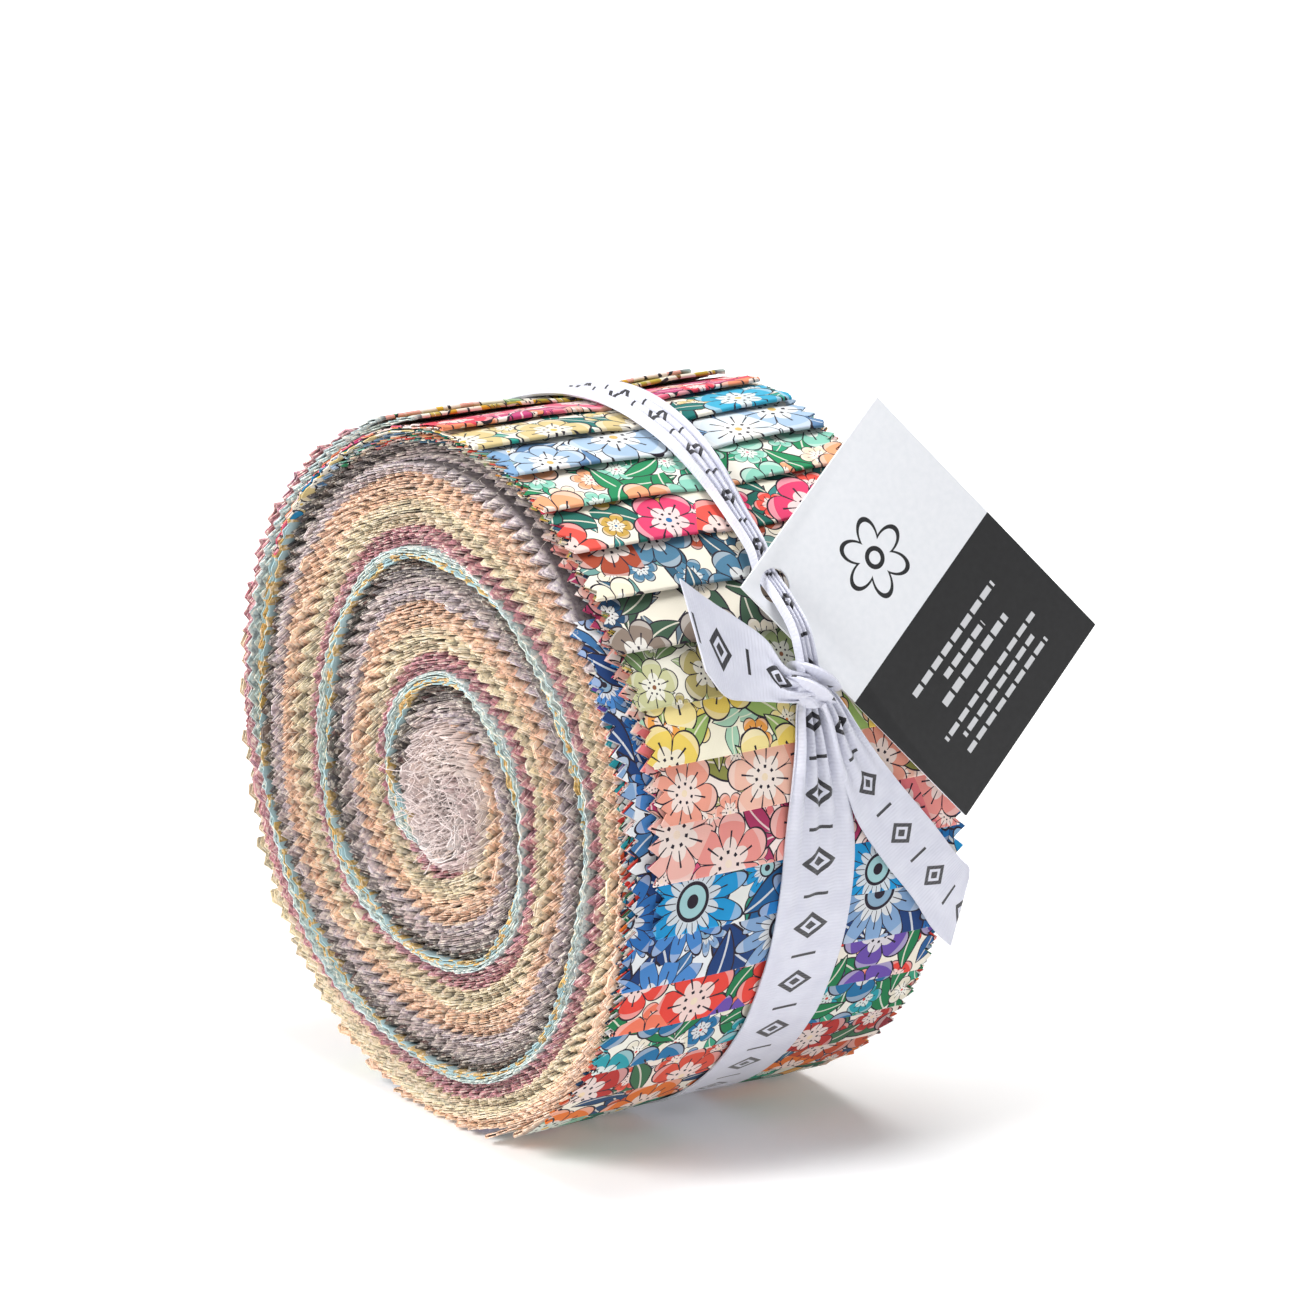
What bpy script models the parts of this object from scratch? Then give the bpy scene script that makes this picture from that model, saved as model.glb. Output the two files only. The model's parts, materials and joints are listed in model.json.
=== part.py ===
"""Pre-cut fabric strip roll: forty folded quilting strips wound as one spiral, a ribbon and a card hang tag.

Frame: metres, +Z up. The roll lies on its side with its axis along Y. The origin is the middle of the
flat under the ribbon, which the roll rests on. Polar angles are measured in the X-Z plane from +X
towards +Z, about the roll's axis.
"""
import math

import bmesh
import bpy
from mathutils import Matrix, Vector

# ---- driving dimensions -------------------------------------------------------------------------
STRIP_COUNT = 40
STRIP_WIDTH = 0.0635           # 2.5 in
STRIP_LENGTH = 1.1176          # 44 in, flat; each strip is folded once across its middle
STRIP_PITCH = 0.00048          # room one folded strip takes in the winding, two layers and air
STRIP_SOLID = 0.00034          # thickness of the folded strip
CORE_TURN = 1.0                # radians of winding left open in the middle
FIRST_SHADE = 29               # the strip that starts the order of shades, its end near the top

RIBBON_WIDTH = 0.0145
RIBBON_THICK = 0.00035
RIBBON_Y = 0.0037              # the ribbon's middle, a little behind the roll's
STRAND_RADIUS = 0.0014         # the ribbon bunched up
TAIL_THICK = 0.0004

TAG_WIDTH = 0.042
TAG_LENGTH = 0.0545
TAG_THICK = 0.0005
TAG_HOLE_RADIUS = 0.0028
TAG_HOLE_MARGIN = 0.0045       # hole centre to the top edge and to the left edge
TAG_LEAN = math.radians(20.0)  # polar angle where the card lies against the roll
TAG_TURN = math.radians(38.8)  # the top edge's slope in the card's own plane

GAP = 0.0003                   # between pieces that touch
FACET = math.radians(22.5)     # winding angle of one flat of the strips
WRAP_FACETS = 24
REST_ANGLE = math.radians(13.5)     # half of the flat under the roll, seen from the axis
WRAP_START = math.radians(18.0)     # polar angle where the wrap comes out from under the knot
WRAP_END = math.radians(-305.0)     # and, after going round, where it bunches into the neck

# ---- worked-out dimensions ----------------------------------------------------------------------
BASE_RADIUS = STRIP_COUNT * STRIP_PITCH / math.tau
STRIP_STEP = math.tau / STRIP_COUNT
FULL_TURN = math.sqrt(CORE_TURN ** 2 + STRIP_LENGTH / BASE_RADIUS)
ROLL_RADIUS = BASE_RADIUS * math.hypot(1.0, FULL_TURN) + STRIP_SOLID / 2
WRAP_RADIUS = ROLL_RADIUS + GAP + RIBBON_THICK / 2
LOWEST_CLOTH = BASE_RADIUS * (math.sin(FACET / 2) + FULL_TURN * math.cos(FACET / 2)) + STRIP_SOLID / 2
REST_DEPTH = LOWEST_CLOTH + GAP + RIBBON_THICK / 2
AXIS_HEIGHT = REST_DEPTH + RIBBON_THICK / 2
TAG_DISTANCE = ROLL_RADIUS + 2 * GAP + TAG_THICK / 2
HOLE_ALONG = 0.0018            # hole centre along Y, in the card's plane
HOLE_UP = 0.0195               # hole centre up the card's plane from where it meets the roll


def clear_scene():
    for item in list(bpy.data.objects):
        bpy.data.objects.remove(item, do_unlink=True)


def new_collection(name):
    group = bpy.data.collections.new(name)
    bpy.context.scene.collection.children.link(group)
    return group


def make_material(name, color, roughness):
    material = bpy.data.materials.new(name)
    material.use_nodes = True
    shader = material.node_tree.nodes["Principled BSDF"]
    shader.inputs["Base Color"].default_value = (*color, 1.0)
    shader.inputs["Roughness"].default_value = roughness
    shader.inputs["Metallic"].default_value = 0.0
    return material


def add_object(name, mesh, material, group):
    item = bpy.data.objects.new(name, mesh)
    item.data.materials.append(material)
    group.objects.link(item)
    return item


def polar(angle, radius, along):
    """A point at a polar angle, a distance from the roll's axis and a place along it."""
    return Vector((radius * math.cos(angle), along, AXIS_HEIGHT + radius * math.sin(angle)))


# ---- the wound strips ---------------------------------------------------------------------------
def winding_point(angle, distance):
    """A point on the ray that touches the base circle and leaves it at this polar angle."""
    x = BASE_RADIUS * math.sin(angle) + distance * math.cos(angle)
    z = -BASE_RADIUS * math.cos(angle) + distance * math.sin(angle)
    return Vector((x, 0.0, AXIS_HEIGHT + z))


def winding_path(end_angle):
    """The strip's section: an involute in flats that every strip shares, ends cut on their flats."""
    first_angle = end_angle + FULL_TURN
    start_angle = first_angle - CORE_TURN
    bottom_ray = -math.pi / 2 - FACET / 2

    def ray(index):
        angle = bottom_ray + index * FACET
        return winding_point(angle, BASE_RADIUS * (first_angle - angle))

    def on_flat(angle):
        place = (angle - bottom_ray) / FACET
        index = math.floor(place + 1e-6)
        return ray(index).lerp(ray(index + 1), place - index)

    first = math.ceil((start_angle - bottom_ray) / FACET - 1e-6) - 1
    last = math.floor((end_angle - bottom_ray) / FACET + 1e-6) + 1
    inner = [ray(index) for index in range(first, last - 1, -1)]
    return [on_flat(start_angle), *inner, on_flat(end_angle)]


def strip_mesh(name, path, width):
    """An open sheet that follows the path and runs across it along Y."""
    mesh = bpy.data.meshes.new(name)
    shape = bmesh.new()
    side = Vector((0.0, -width / 2, 0.0))
    verts = [shape.verts.new(point + side) for point in path]
    edges = [shape.edges.new(pair) for pair in zip(verts, verts[1:])]
    made = bmesh.ops.extrude_edge_only(shape, edges=edges)
    moved = [item for item in made["geom"] if isinstance(item, bmesh.types.BMVert)]
    bmesh.ops.translate(shape, verts=moved, vec=(0.0, width, 0.0))
    bmesh.ops.recalc_face_normals(shape, faces=shape.faces)
    shape.to_mesh(mesh)
    shape.free()
    return mesh


def thicken(item, thickness):
    shell = item.modifiers.new("thickness", "SOLIDIFY")
    shell.thickness = thickness
    shell.offset = 0.0
    shell.use_even_offset = True


def strip_tint(index):
    """The colour that the strip's cut edges show: the strips are stacked in shades, counted inwards."""
    shades = (
        (1, (0.55, 0.64, 0.66)),
        (1, (0.66, 0.52, 0.24)),
        (15, (0.36, 0.33, 0.37)),
        (7, (0.76, 0.53, 0.42)),
        (9, (0.62, 0.58, 0.42)),
        (7, (0.50, 0.31, 0.36)),
    )
    place = (index - FIRST_SHADE) % STRIP_COUNT
    for count, shade in shades:
        if place < count:
            return shade
        place -= count
    return shades[-1][1]


def build_strips(group):
    for index in range(STRIP_COUNT):
        name = f"fabric_strip_{index + 1:02d}"
        path = winding_path(-index * STRIP_STEP)
        material = make_material(name + "_cotton", strip_tint(index), 0.9)
        strip = add_object(name, strip_mesh(name, path, STRIP_WIDTH), material, group)
        thicken(strip, STRIP_SOLID)


# ---- ribbon -------------------------------------------------------------------------------------
def band_mesh(name, sections):
    """A sheet between two edges; each section is a pair of points across the ribbon."""
    mesh = bpy.data.meshes.new(name)
    shape = bmesh.new()
    rows = [[shape.verts.new(point) for point in pair] for pair in sections]
    for here, after in zip(rows, rows[1:]):
        shape.faces.new((here[0], here[1], after[1], after[0]))
    bmesh.ops.recalc_face_normals(shape, faces=shape.faces)
    shape.to_mesh(mesh)
    shape.free()
    return mesh


def wrap_width(angle):
    """Full width under and behind the roll, drawn in towards the knot and towards the tag."""
    stops = ((14, 0.0055), (7, 0.0095), (-6, RIBBON_WIDTH), (-240, RIBBON_WIDTH), (-262, 0.0100), (-304, 0.0045))
    degrees = math.degrees(angle)
    for (high, wide), (low, narrow) in zip(stops, stops[1:]):
        if degrees >= low:
            share = min(max((high - degrees) / (high - low), 0.0), 1.0)
            return wide + share * (narrow - wide)
    return stops[-1][1]


def wrap_corners():
    """Polar angle and radius of the wrap's corners: even flats, and a wider one where the roll rests."""
    facet = math.tau / WRAP_FACETS
    rest = -math.pi / 2

    def corner(angle):
        off_middle = (angle + facet / 2) % facet - facet / 2
        return angle, WRAP_RADIUS / math.cos(off_middle)

    even = [facet / 2 - index * facet for index in range(WRAP_FACETS)]
    corners = [corner(angle) for angle in even if angle > WRAP_END and abs(angle - rest) > REST_ANGLE]
    corners += [(rest + side * REST_ANGLE, REST_DEPTH / math.cos(REST_ANGLE)) for side in (-1, 1)]
    corners += [corner(WRAP_START), corner(WRAP_END)]
    return sorted(corners, reverse=True)


def build_wrap(group, material):
    """From below the knot down, under the roll, up behind it and over its top."""
    sections = []
    for angle, radius in wrap_corners():
        half = wrap_width(angle) / 2
        sections.append((polar(angle, radius, RIBBON_Y - half), polar(angle, radius, RIBBON_Y + half)))
    wrap = add_object("ribbon_wrap", band_mesh("ribbon_wrap", sections), material, group)
    thicken(wrap, RIBBON_THICK)


def tube(name, points, radius, material, group):
    """A round strand: a poly curve with a bevel and filled caps, turned into a mesh."""
    curve = bpy.data.curves.new(name, "CURVE")
    curve.dimensions = "3D"
    curve.bevel_depth = radius
    curve.bevel_resolution = 2
    curve.use_fill_caps = True
    spline = curve.splines.new("POLY")
    spline.points.add(len(points) - 1)
    for target, point in zip(spline.points, points):
        target.co = (*point, 1.0)
    guide = bpy.data.objects.new(name + "_guide", curve)
    bpy.context.scene.collection.objects.link(guide)
    bpy.context.view_layer.update()
    evaluated = guide.evaluated_get(bpy.context.evaluated_depsgraph_get())
    mesh = bpy.data.meshes.new_from_object(evaluated)
    bpy.data.objects.remove(guide, do_unlink=True)
    shape = bmesh.new()
    shape.from_mesh(mesh)
    bmesh.ops.remove_doubles(shape, verts=shape.verts, dist=1e-6)
    shape.to_mesh(mesh)
    shape.free()
    mesh.materials.clear()
    return add_object(name, mesh, material, group)


def card_point(along, up, out=0.0):
    """A point in the card's plane: along Y, up the plane, and out of it, away from the roll."""
    normal = Vector((math.cos(TAG_LEAN), 0.0, math.sin(TAG_LEAN)))
    rise = Vector((-math.sin(TAG_LEAN), 0.0, math.cos(TAG_LEAN)))
    centre = Vector((0.0, along, AXIS_HEIGHT))
    return centre + normal * (TAG_DISTANCE + out) + rise * up


def strand_ends():
    """The straight stretch through the tag's hole, from behind the card to in front of it."""
    behind = card_point(HOLE_ALONG, HOLE_UP + 0.0033, -0.0026)
    front = card_point(HOLE_ALONG, HOLE_UP - 0.0033, 0.0026)
    return behind, front


def knot_centre():
    return card_point(RIBBON_Y, 0.0026, 0.0014)


def build_strands(group, material):
    behind, front = strand_ends()
    way = (front - behind).normalized()
    tube("ribbon_strand", [behind, front], STRAND_RADIUS, material, group)
    rest = WRAP_RADIUS + STRAND_RADIUS
    neck = [
        polar(math.radians(54.5), rest, RIBBON_Y - 0.0002),
        polar(math.radians(48.0), rest + 0.0002, RIBBON_Y - 0.0010),
        behind - way * (GAP + 0.0016),
        behind - way * GAP,
    ]
    tube("ribbon_neck", neck, STRAND_RADIUS, material, group)
    lead = [
        front + way * GAP,
        front + way * (GAP + 0.0010),
        card_point(HOLE_ALONG + 0.0008, HOLE_UP - 0.0075, 0.0042),
        card_point(RIBBON_Y - 0.0002, 0.0072, 0.0028),
    ]
    tube("ribbon_lead", lead, STRAND_RADIUS, material, group)


def build_knot(group, material):
    mesh = bpy.data.meshes.new("ribbon_knot")
    shape = bmesh.new()
    bmesh.ops.create_uvsphere(shape, u_segments=16, v_segments=10, radius=1.0)
    bmesh.ops.scale(shape, vec=(0.0025, 0.0042, 0.0039), verts=shape.verts)
    bmesh.ops.rotate(shape, matrix=Matrix.Rotation(-TAG_LEAN, 3, "Y"), verts=shape.verts)
    shape.to_mesh(mesh)
    shape.free()
    knot = add_object("ribbon_knot", mesh, material, group)
    knot.location = knot_centre()


def build_tail(name, stations, group, material):
    """Stations: along Y, polar angle in degrees and height off the ribbon's wrap, for both edges."""
    sections = []
    for first, second in stations:
        pair = [polar(math.radians(turn), WRAP_RADIUS + high, along) for along, turn, high in (first, second)]
        sections.append(pair)
    hinge = (sections[0][0] + sections[0][1]) / 2
    moved = [[point - hinge for point in pair] for pair in sections]
    tail = add_object(name, band_mesh(name, moved), material, group)
    tail.location = hinge
    thicken(tail, TAIL_THICK)


def build_tails(group, material):
    left = [
        ((-0.0010, 20.6, 0.0018), (-0.0010, 25.2, 0.0020)),
        ((-0.0038, 21.6, 0.0014), (-0.0028, 30.2, 0.0020)),
        ((-0.0075, 22.6, 0.0012), (-0.0066, 33.4, 0.0024)),
        ((-0.0118, 23.2, 0.0018), (-0.0112, 36.2, 0.0036)),
        ((-0.0152, 26.6, 0.0032), (-0.0162, 40.0, 0.0054)),
    ]
    right = [
        ((0.0052, 17.9, 0.0018), (0.0076, 20.6, 0.0018)),
        ((0.0075, 9.6, 0.0012), (0.0124, 14.0, 0.0012)),
        ((0.0112, 0.6, 0.0009), (0.0190, 5.4, 0.0009)),
        ((0.0172, -7.2, 0.0009), (0.0250, -1.6, 0.0009)),
        ((0.0250, -16.0, 0.0009), (0.0316, -9.0, 0.0009)),
        ((0.0335, -24.6, 0.0010), (0.0338, -12.4, 0.0010)),
    ]
    build_tail("ribbon_tail_left", left, group, material)
    build_tail("ribbon_tail_right", right, group, material)


# ---- hang tag -----------------------------------------------------------------------------------
def tag_outline():
    """Flat outline round the hole centre: x along the top edge, y down the card."""
    left = -TAG_HOLE_MARGIN
    top = TAG_HOLE_MARGIN
    right = left + TAG_WIDTH
    bottom = top - TAG_LENGTH
    return [(left, top), (left, bottom), (right, bottom), (right, top)]


def add_ring(curve, points):
    spline = curve.splines.new("POLY")
    spline.points.add(len(points) - 1)
    for target, (x, y) in zip(spline.points, points):
        target.co = (x, y, 0.0, 1.0)
    spline.use_cyclic_u = True


def build_tag(group, material):
    """A card with a punched hole; the object's origin is the hole's centre."""
    curve = bpy.data.curves.new("hang_tag", "CURVE")
    curve.dimensions = "2D"
    curve.fill_mode = "BOTH"
    curve.extrude = TAG_THICK / 2
    add_ring(curve, tag_outline())
    steps = 24
    turns = [index * math.tau / steps for index in range(steps)]
    add_ring(curve, [(TAG_HOLE_RADIUS * math.cos(turn), TAG_HOLE_RADIUS * math.sin(turn)) for turn in turns])
    guide = bpy.data.objects.new("hang_tag_guide", curve)
    bpy.context.scene.collection.objects.link(guide)
    bpy.context.view_layer.update()
    evaluated = guide.evaluated_get(bpy.context.evaluated_depsgraph_get())
    mesh = bpy.data.meshes.new_from_object(evaluated)
    bpy.data.objects.remove(guide, do_unlink=True)
    shape = bmesh.new()
    shape.from_mesh(mesh)
    bmesh.ops.remove_doubles(shape, verts=shape.verts, dist=1e-6)
    shape.to_mesh(mesh)
    shape.free()
    mesh.materials.clear()
    tag = add_object("hang_tag", mesh, material, group)
    origin = card_point(HOLE_ALONG, HOLE_UP)
    normal = (card_point(0.0, 0.0, 1.0) - card_point(0.0, 0.0)).normalized()
    rise = (card_point(0.0, 1.0) - card_point(0.0, 0.0)).normalized()
    across = Vector((0.0, 1.0, 0.0)) * math.cos(TAG_TURN) + rise * math.sin(TAG_TURN)
    down = normal.cross(across)
    turn = Matrix((across, down, normal)).transposed().to_4x4()
    tag.matrix_world = Matrix.Translation(origin) @ turn


def main():
    clear_scene()
    group = new_collection("fabric_strip_roll")
    build_strips(group)
    for name, builder in (("wrap", build_wrap), ("strand", build_strands), ("knot", build_knot), ("tail", build_tails)):
        builder(group, make_material(f"ribbon_{name}_satin", (0.76, 0.76, 0.82), 0.45))
    build_tag(group, make_material("hang_tag_card", (0.80, 0.82, 0.85), 0.55))


main()
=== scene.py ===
# %% [markdown]
# # A roll of forty quilting strips
# Forty printed cotton strips with pinked edges are folded once, stacked like stairs and wound up together.
# A satin ribbon holds the roll, and a card tag hangs on the ribbon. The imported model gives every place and
# size, so each cell starts from it and adds the cloth, the ribbon and the card that people see.

# %% Load the frame
import json
import math

import bpy
import numpy as np
from mathutils import Matrix, Vector

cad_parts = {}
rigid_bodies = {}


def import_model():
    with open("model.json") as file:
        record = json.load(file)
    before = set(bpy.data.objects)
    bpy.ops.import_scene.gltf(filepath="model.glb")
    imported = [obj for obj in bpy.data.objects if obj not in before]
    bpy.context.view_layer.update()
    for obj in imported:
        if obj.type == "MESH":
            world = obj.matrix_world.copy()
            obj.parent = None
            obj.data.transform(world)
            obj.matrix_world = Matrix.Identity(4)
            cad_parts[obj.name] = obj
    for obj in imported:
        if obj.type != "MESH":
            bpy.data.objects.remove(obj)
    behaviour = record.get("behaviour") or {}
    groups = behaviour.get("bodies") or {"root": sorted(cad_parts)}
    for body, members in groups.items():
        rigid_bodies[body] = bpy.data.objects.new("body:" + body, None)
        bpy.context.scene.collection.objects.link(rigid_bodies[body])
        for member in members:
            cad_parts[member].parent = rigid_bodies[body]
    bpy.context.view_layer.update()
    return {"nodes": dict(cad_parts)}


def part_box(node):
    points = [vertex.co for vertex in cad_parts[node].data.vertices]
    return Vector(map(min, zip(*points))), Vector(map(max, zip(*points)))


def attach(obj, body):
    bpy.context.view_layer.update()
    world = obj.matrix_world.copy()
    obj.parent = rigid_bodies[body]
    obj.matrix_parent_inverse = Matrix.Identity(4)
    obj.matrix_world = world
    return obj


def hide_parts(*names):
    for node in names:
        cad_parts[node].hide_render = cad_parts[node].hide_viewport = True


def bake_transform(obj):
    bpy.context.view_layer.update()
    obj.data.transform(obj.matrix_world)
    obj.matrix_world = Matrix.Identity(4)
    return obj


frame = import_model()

for item in list(bpy.data.objects):
    if item.name in ("Cube", "Light", "Camera"):
        bpy.data.objects.remove(item)


def pick_out(piece):
    """Selects one piece and makes it the active one."""
    bpy.ops.object.select_all(action="DESELECT")
    piece.select_set(True)
    bpy.context.view_layer.objects.active = piece


def corner_verts(piece):
    """The vertex that each face corner of a piece stands on."""
    corner = np.zeros(len(piece.data.loops), np.int32)
    piece.data.loops.foreach_get("vertex_index", corner)
    return corner


def vert_places(piece):
    places = np.zeros(len(piece.data.vertices) * 3, np.float32)
    piece.data.vertices.foreach_get("co", places)
    return places.reshape(-1, 3)


def unit(rows):
    return rows / np.linalg.norm(rows, axis=1)[:, None]


def linear(code):
    """A colour written as six hex digits, as the linear values that shaders use."""
    parts = [int(code[place:place + 2], 16) / 255 for place in (0, 2, 4)]
    return tuple(part / 12.92 if part < 0.04045 else ((part + 0.055) / 1.055) ** 2.4 for part in parts)


def smooth(low, high, value):
    share = np.clip((value - low) / (high - low), 0.0, 1.0)
    return share * share * (3.0 - 2.0 * share)

# %% [markdown]
# ## The roll's own numbers
# A strip is 2.5 in wide and 44 in long. Forty of them, each folded once, start 9 degrees apart and run
# inwards side by side. Lines that stay the same distance apart as they wind are involutes of a small
# circle, so one formula places all forty.

# %% The winding
STRIPS = sorted(name for name in frame["nodes"] if name.startswith("fabric_strip"))
STRIP_WIDTH, STRIP_LENGTH = 0.0635, 1.1176
STRIP_PITCH = 0.00048
CORE_TURN = 1.0
STEP = math.tau / len(STRIPS)
BASE = len(STRIPS) * STRIP_PITCH / math.tau
FULL_TURN = math.sqrt(CORE_TURN ** 2 + STRIP_LENGTH / BASE)
ROLL_RADIUS = BASE * math.hypot(1.0, FULL_TURN)
WRAP_RADIUS = ROLL_RADIUS + 0.00065
wrap_low, wrap_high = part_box("ribbon_wrap")
AXIS = Vector((0.0, 0.0, wrap_high.z - WRAP_RADIUS - 0.00018))
RIBBON_Y = (wrap_low.y + wrap_high.y) / 2
print("strips", len(STRIPS), "roll radius", round(ROLL_RADIUS, 5), "axis height", round(AXIS.z, 5))


def wind(distance, end_angle, out):
    """Places along a strip, counted from its outer end: X, Z about the roll's axis."""
    turn = np.sqrt(np.maximum(FULL_TURN ** 2 - 2 * distance / BASE, 0.2))
    angle = end_angle + FULL_TURN - turn
    reach = BASE * turn + out
    x = BASE * np.sin(angle) + reach * np.cos(angle)
    z = -BASE * np.cos(angle) + reach * np.sin(angle)
    return x, z, angle


def settle(x, z, clearance):
    """The bottom of the soft roll is pressed flat and stops just above the floor."""
    soft = 0.0012
    start = AXIS.z - clearance - soft
    eased = start + soft * np.tanh((-z - start) / soft)
    return x, np.where(-z > start, -eased, z)


def relax(x, z):
    """The roll isn't a perfect disc: neighbouring layers wander together, and its middle has slipped down."""
    radius = np.hypot(x, z)
    inner = 1.0 - np.clip(radius / ROLL_RADIUS, 0.0, 1.0) ** 2
    amount = 0.00055 * smooth(0.004, 0.022, radius) * (1.0 - 0.75 * smooth(0.046, 0.058, radius))
    x = x + 0.0030 * inner + amount * (np.sin(z / 0.0105 + 0.7) + 0.6 * np.sin((x + z) / 0.0150 + 2.1))
    z = z - 0.0028 * inner + amount * (np.sin(x / 0.0115 + 1.9) + 0.6 * np.sin((x - z) / 0.0140 + 0.4))
    return settle(x, z, 0.0005)


BUNDLE = 0.0034


def rope(radius):
    """Which bundle of layers a radius is in: the layers lie in bundles, like strands of thick cord."""
    return radius / BUNDLE + 0.25 * np.sin(radius / 0.0062)


def bulge(x, z, radius):
    """Slides along the axis: each bundle's middle stands out, and the -X side has come forward a little."""
    angle = np.arctan2(z, x)
    drift = 0.00035 * np.sin(3 * angle + radius / 0.006) + 0.00020 * np.sin(8 * angle + radius / 0.0023)
    forward = 0.0021 * smooth(0.0, 1.0, -x / ROLL_RADIUS)
    return 0.00055 * np.cos(math.tau * rope(radius)) + drift - forward

# %% [markdown]
# ## The camera, the floor and the light
# The roll is seen from the front right and a little above, through a long lens, so that its round face
# shows as a tall oval. The floor is plain and pale. Large soft lights keep the shadows soft and the colours
# clear.

# %% Camera
VIEW_TURN, VIEW_RISE, VIEW_DISTANCE = math.radians(56.0), math.radians(15.7), 1.0
FRAME_SPAN = 1300 / 6006
towards = Vector((
    math.sin(VIEW_TURN) * math.cos(VIEW_RISE),
    -math.cos(VIEW_TURN) * math.cos(VIEW_RISE),
    math.sin(VIEW_RISE),
))
side = Vector((math.cos(VIEW_TURN), math.sin(VIEW_TURN), 0.0))
above = towards.cross(side)
aim = AXIS + side * 0.0094 + above * 0.0163
bpy.ops.object.camera_add(location=aim + towards * VIEW_DISTANCE)
camera = bpy.context.object
camera.rotation_euler = (-towards).to_track_quat("-Z", "Y").to_euler()
camera.data.sensor_width = 36.0
camera.data.lens = 36.0 / FRAME_SPAN
camera.data.clip_start = 0.01
bpy.context.scene.camera = camera
bpy.context.scene.view_settings.view_transform = "Standard"
print("camera at", [round(part, 3) for part in camera.location], "lens", round(camera.data.lens, 1))

# %% Floor and lights
bpy.ops.mesh.primitive_plane_add(size=12.0, location=(0.0, 0.0, 0.0))
floor = bpy.context.object
floor.name = "floor"
paper = bpy.data.materials.new("pale floor")
paper.use_nodes = True
paper_shader = paper.node_tree.nodes["Principled BSDF"]
paper_shader.inputs["Base Color"].default_value = (0.93, 0.93, 0.93, 1.0)
paper_shader.inputs["Roughness"].default_value = 0.9
paper_shader.inputs["Specular IOR Level"].default_value = 0.1
paper_shader.inputs["Emission Color"].default_value = (1.0, 1.0, 1.0, 1.0)
floor.data.materials.append(paper)


def soft_light(name, place, size, power):
    bpy.ops.object.light_add(type="AREA", location=place)
    lamp = bpy.context.object
    lamp.name = name
    lamp.data.size = size
    lamp.data.energy = power
    lamp.rotation_euler = (AXIS - Vector(place)).to_track_quat("-Z", "Y").to_euler()


soft_light("key", (-0.15, -1.00, 0.80), 0.6, 15.0)
soft_light("fill", (1.25, -0.40, 0.75), 0.7, 0.9)
soft_light("top", (0.06, 0.14, 1.30), 0.6, 12.5)
world = bpy.data.worlds.new("studio")
bpy.context.scene.world = world
world.use_nodes = True
sky = world.node_tree.nodes["Background"].inputs
sky["Color"].default_value = (1.0, 1.0, 1.0, 1.0)
sky["Strength"].default_value = 0.34

# %% [markdown]
# ## Shader helpers
# A material here is a small sum worked out at every point of the cloth. These few functions write such sums
# as nodes: each takes numbers or sockets and gives back the socket with the answer.

# %% Node helpers
class Sums:
    """Adds nodes to one tree and joins them up."""

    def __init__(self, tree):
        self.tree = tree

    def node(self, kind, **settings):
        made = self.tree.nodes.new(kind)
        for key, value in settings.items():
            setattr(made, key, value)
        return made

    def feed(self, socket, value):
        if isinstance(value, bpy.types.NodeSocket):
            self.tree.links.new(value, socket)
        elif isinstance(value, (tuple, list)) and len(value) == 3 and len(socket.default_value) == 4:
            socket.default_value = (*value, 1.0)
        else:
            socket.default_value = value

    def sum(self, kind, first, second=0.0):
        made = self.node("ShaderNodeMath", operation=kind)
        self.feed(made.inputs[0], first)
        self.feed(made.inputs[1], second)
        return made.outputs[0]

    def vector(self, kind, first, second):
        made = self.node("ShaderNodeVectorMath", operation=kind)
        self.feed(made.inputs[0], first)
        self.feed(made.inputs[3 if kind == "SCALE" else 1], second)
        return made.outputs[0]

    def mix(self, share, first, second):
        made = self.node("ShaderNodeMix", data_type="RGBA")
        self.feed(made.inputs[0], share)
        self.feed(made.inputs[6], first)
        self.feed(made.inputs[7], second)
        return made.outputs[2]

    def noise(self, place, scale, kind="2D", detail=2.0):
        """Soft noise over a flat place, in depth, or along one line."""
        made = self.node("ShaderNodeTexNoise", noise_dimensions=kind)
        self.feed(made.inputs["W" if kind == "1D" else "Vector"], place)
        made.inputs["Scale"].default_value = scale
        made.inputs["Detail"].default_value = detail
        return made.outputs[0]

    def above(self, value, limit):
        return self.sum("GREATER_THAN", value, limit)

    def below(self, value, limit):
        return self.sum("LESS_THAN", value, limit)

    def split(self, vector):
        made = self.node("ShaderNodeSeparateXYZ")
        self.feed(made.inputs[0], vector)
        return made.outputs

    def cells(self, place, spread):
        """Scattered middles: each point learns where its nearest one is, and a random colour for it."""
        made = self.node("ShaderNodeTexVoronoi", voronoi_dimensions="2D")
        self.feed(made.inputs["Vector"], place)
        made.inputs["Scale"].default_value = 1.0
        made.inputs["Randomness"].default_value = spread
        local = self.vector("SUBTRACT", place, made.outputs["Position"])
        chance = self.split(made.outputs["Color"])
        return local, made.outputs["Distance"], chance


def add_short_name(short, kind):
    """Lets sums.times(a, b) stand for sums.sum("MULTIPLY", a, b), and so on."""
    setattr(Sums, short, lambda sums, first, second=0.0: sums.sum(kind, first, second))


for short, kind in (
    ("times", "MULTIPLY"), ("plus", "ADD"), ("less", "SUBTRACT"), ("over", "DIVIDE"), ("most", "MAXIMUM"),
    ("least", "MINIMUM"), ("size", "ABSOLUTE"), ("cosine", "COSINE"),
):
    add_short_name(short, kind)


def new_material(name):
    """A material with its sums, and the shader they end in."""
    material = bpy.data.materials.new(name)
    material.use_nodes = True
    return material, Sums(material.node_tree), material.node_tree.nodes["Principled BSDF"]


def set_bump(sums, shader, height, strength, distance):
    bump = sums.node("ShaderNodeBump")
    bump.inputs["Strength"].default_value = strength
    bump.inputs["Distance"].default_value = distance
    sums.feed(bump.inputs["Height"], height)
    sums.feed(shader.inputs["Normal"], bump.outputs[0])

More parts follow.
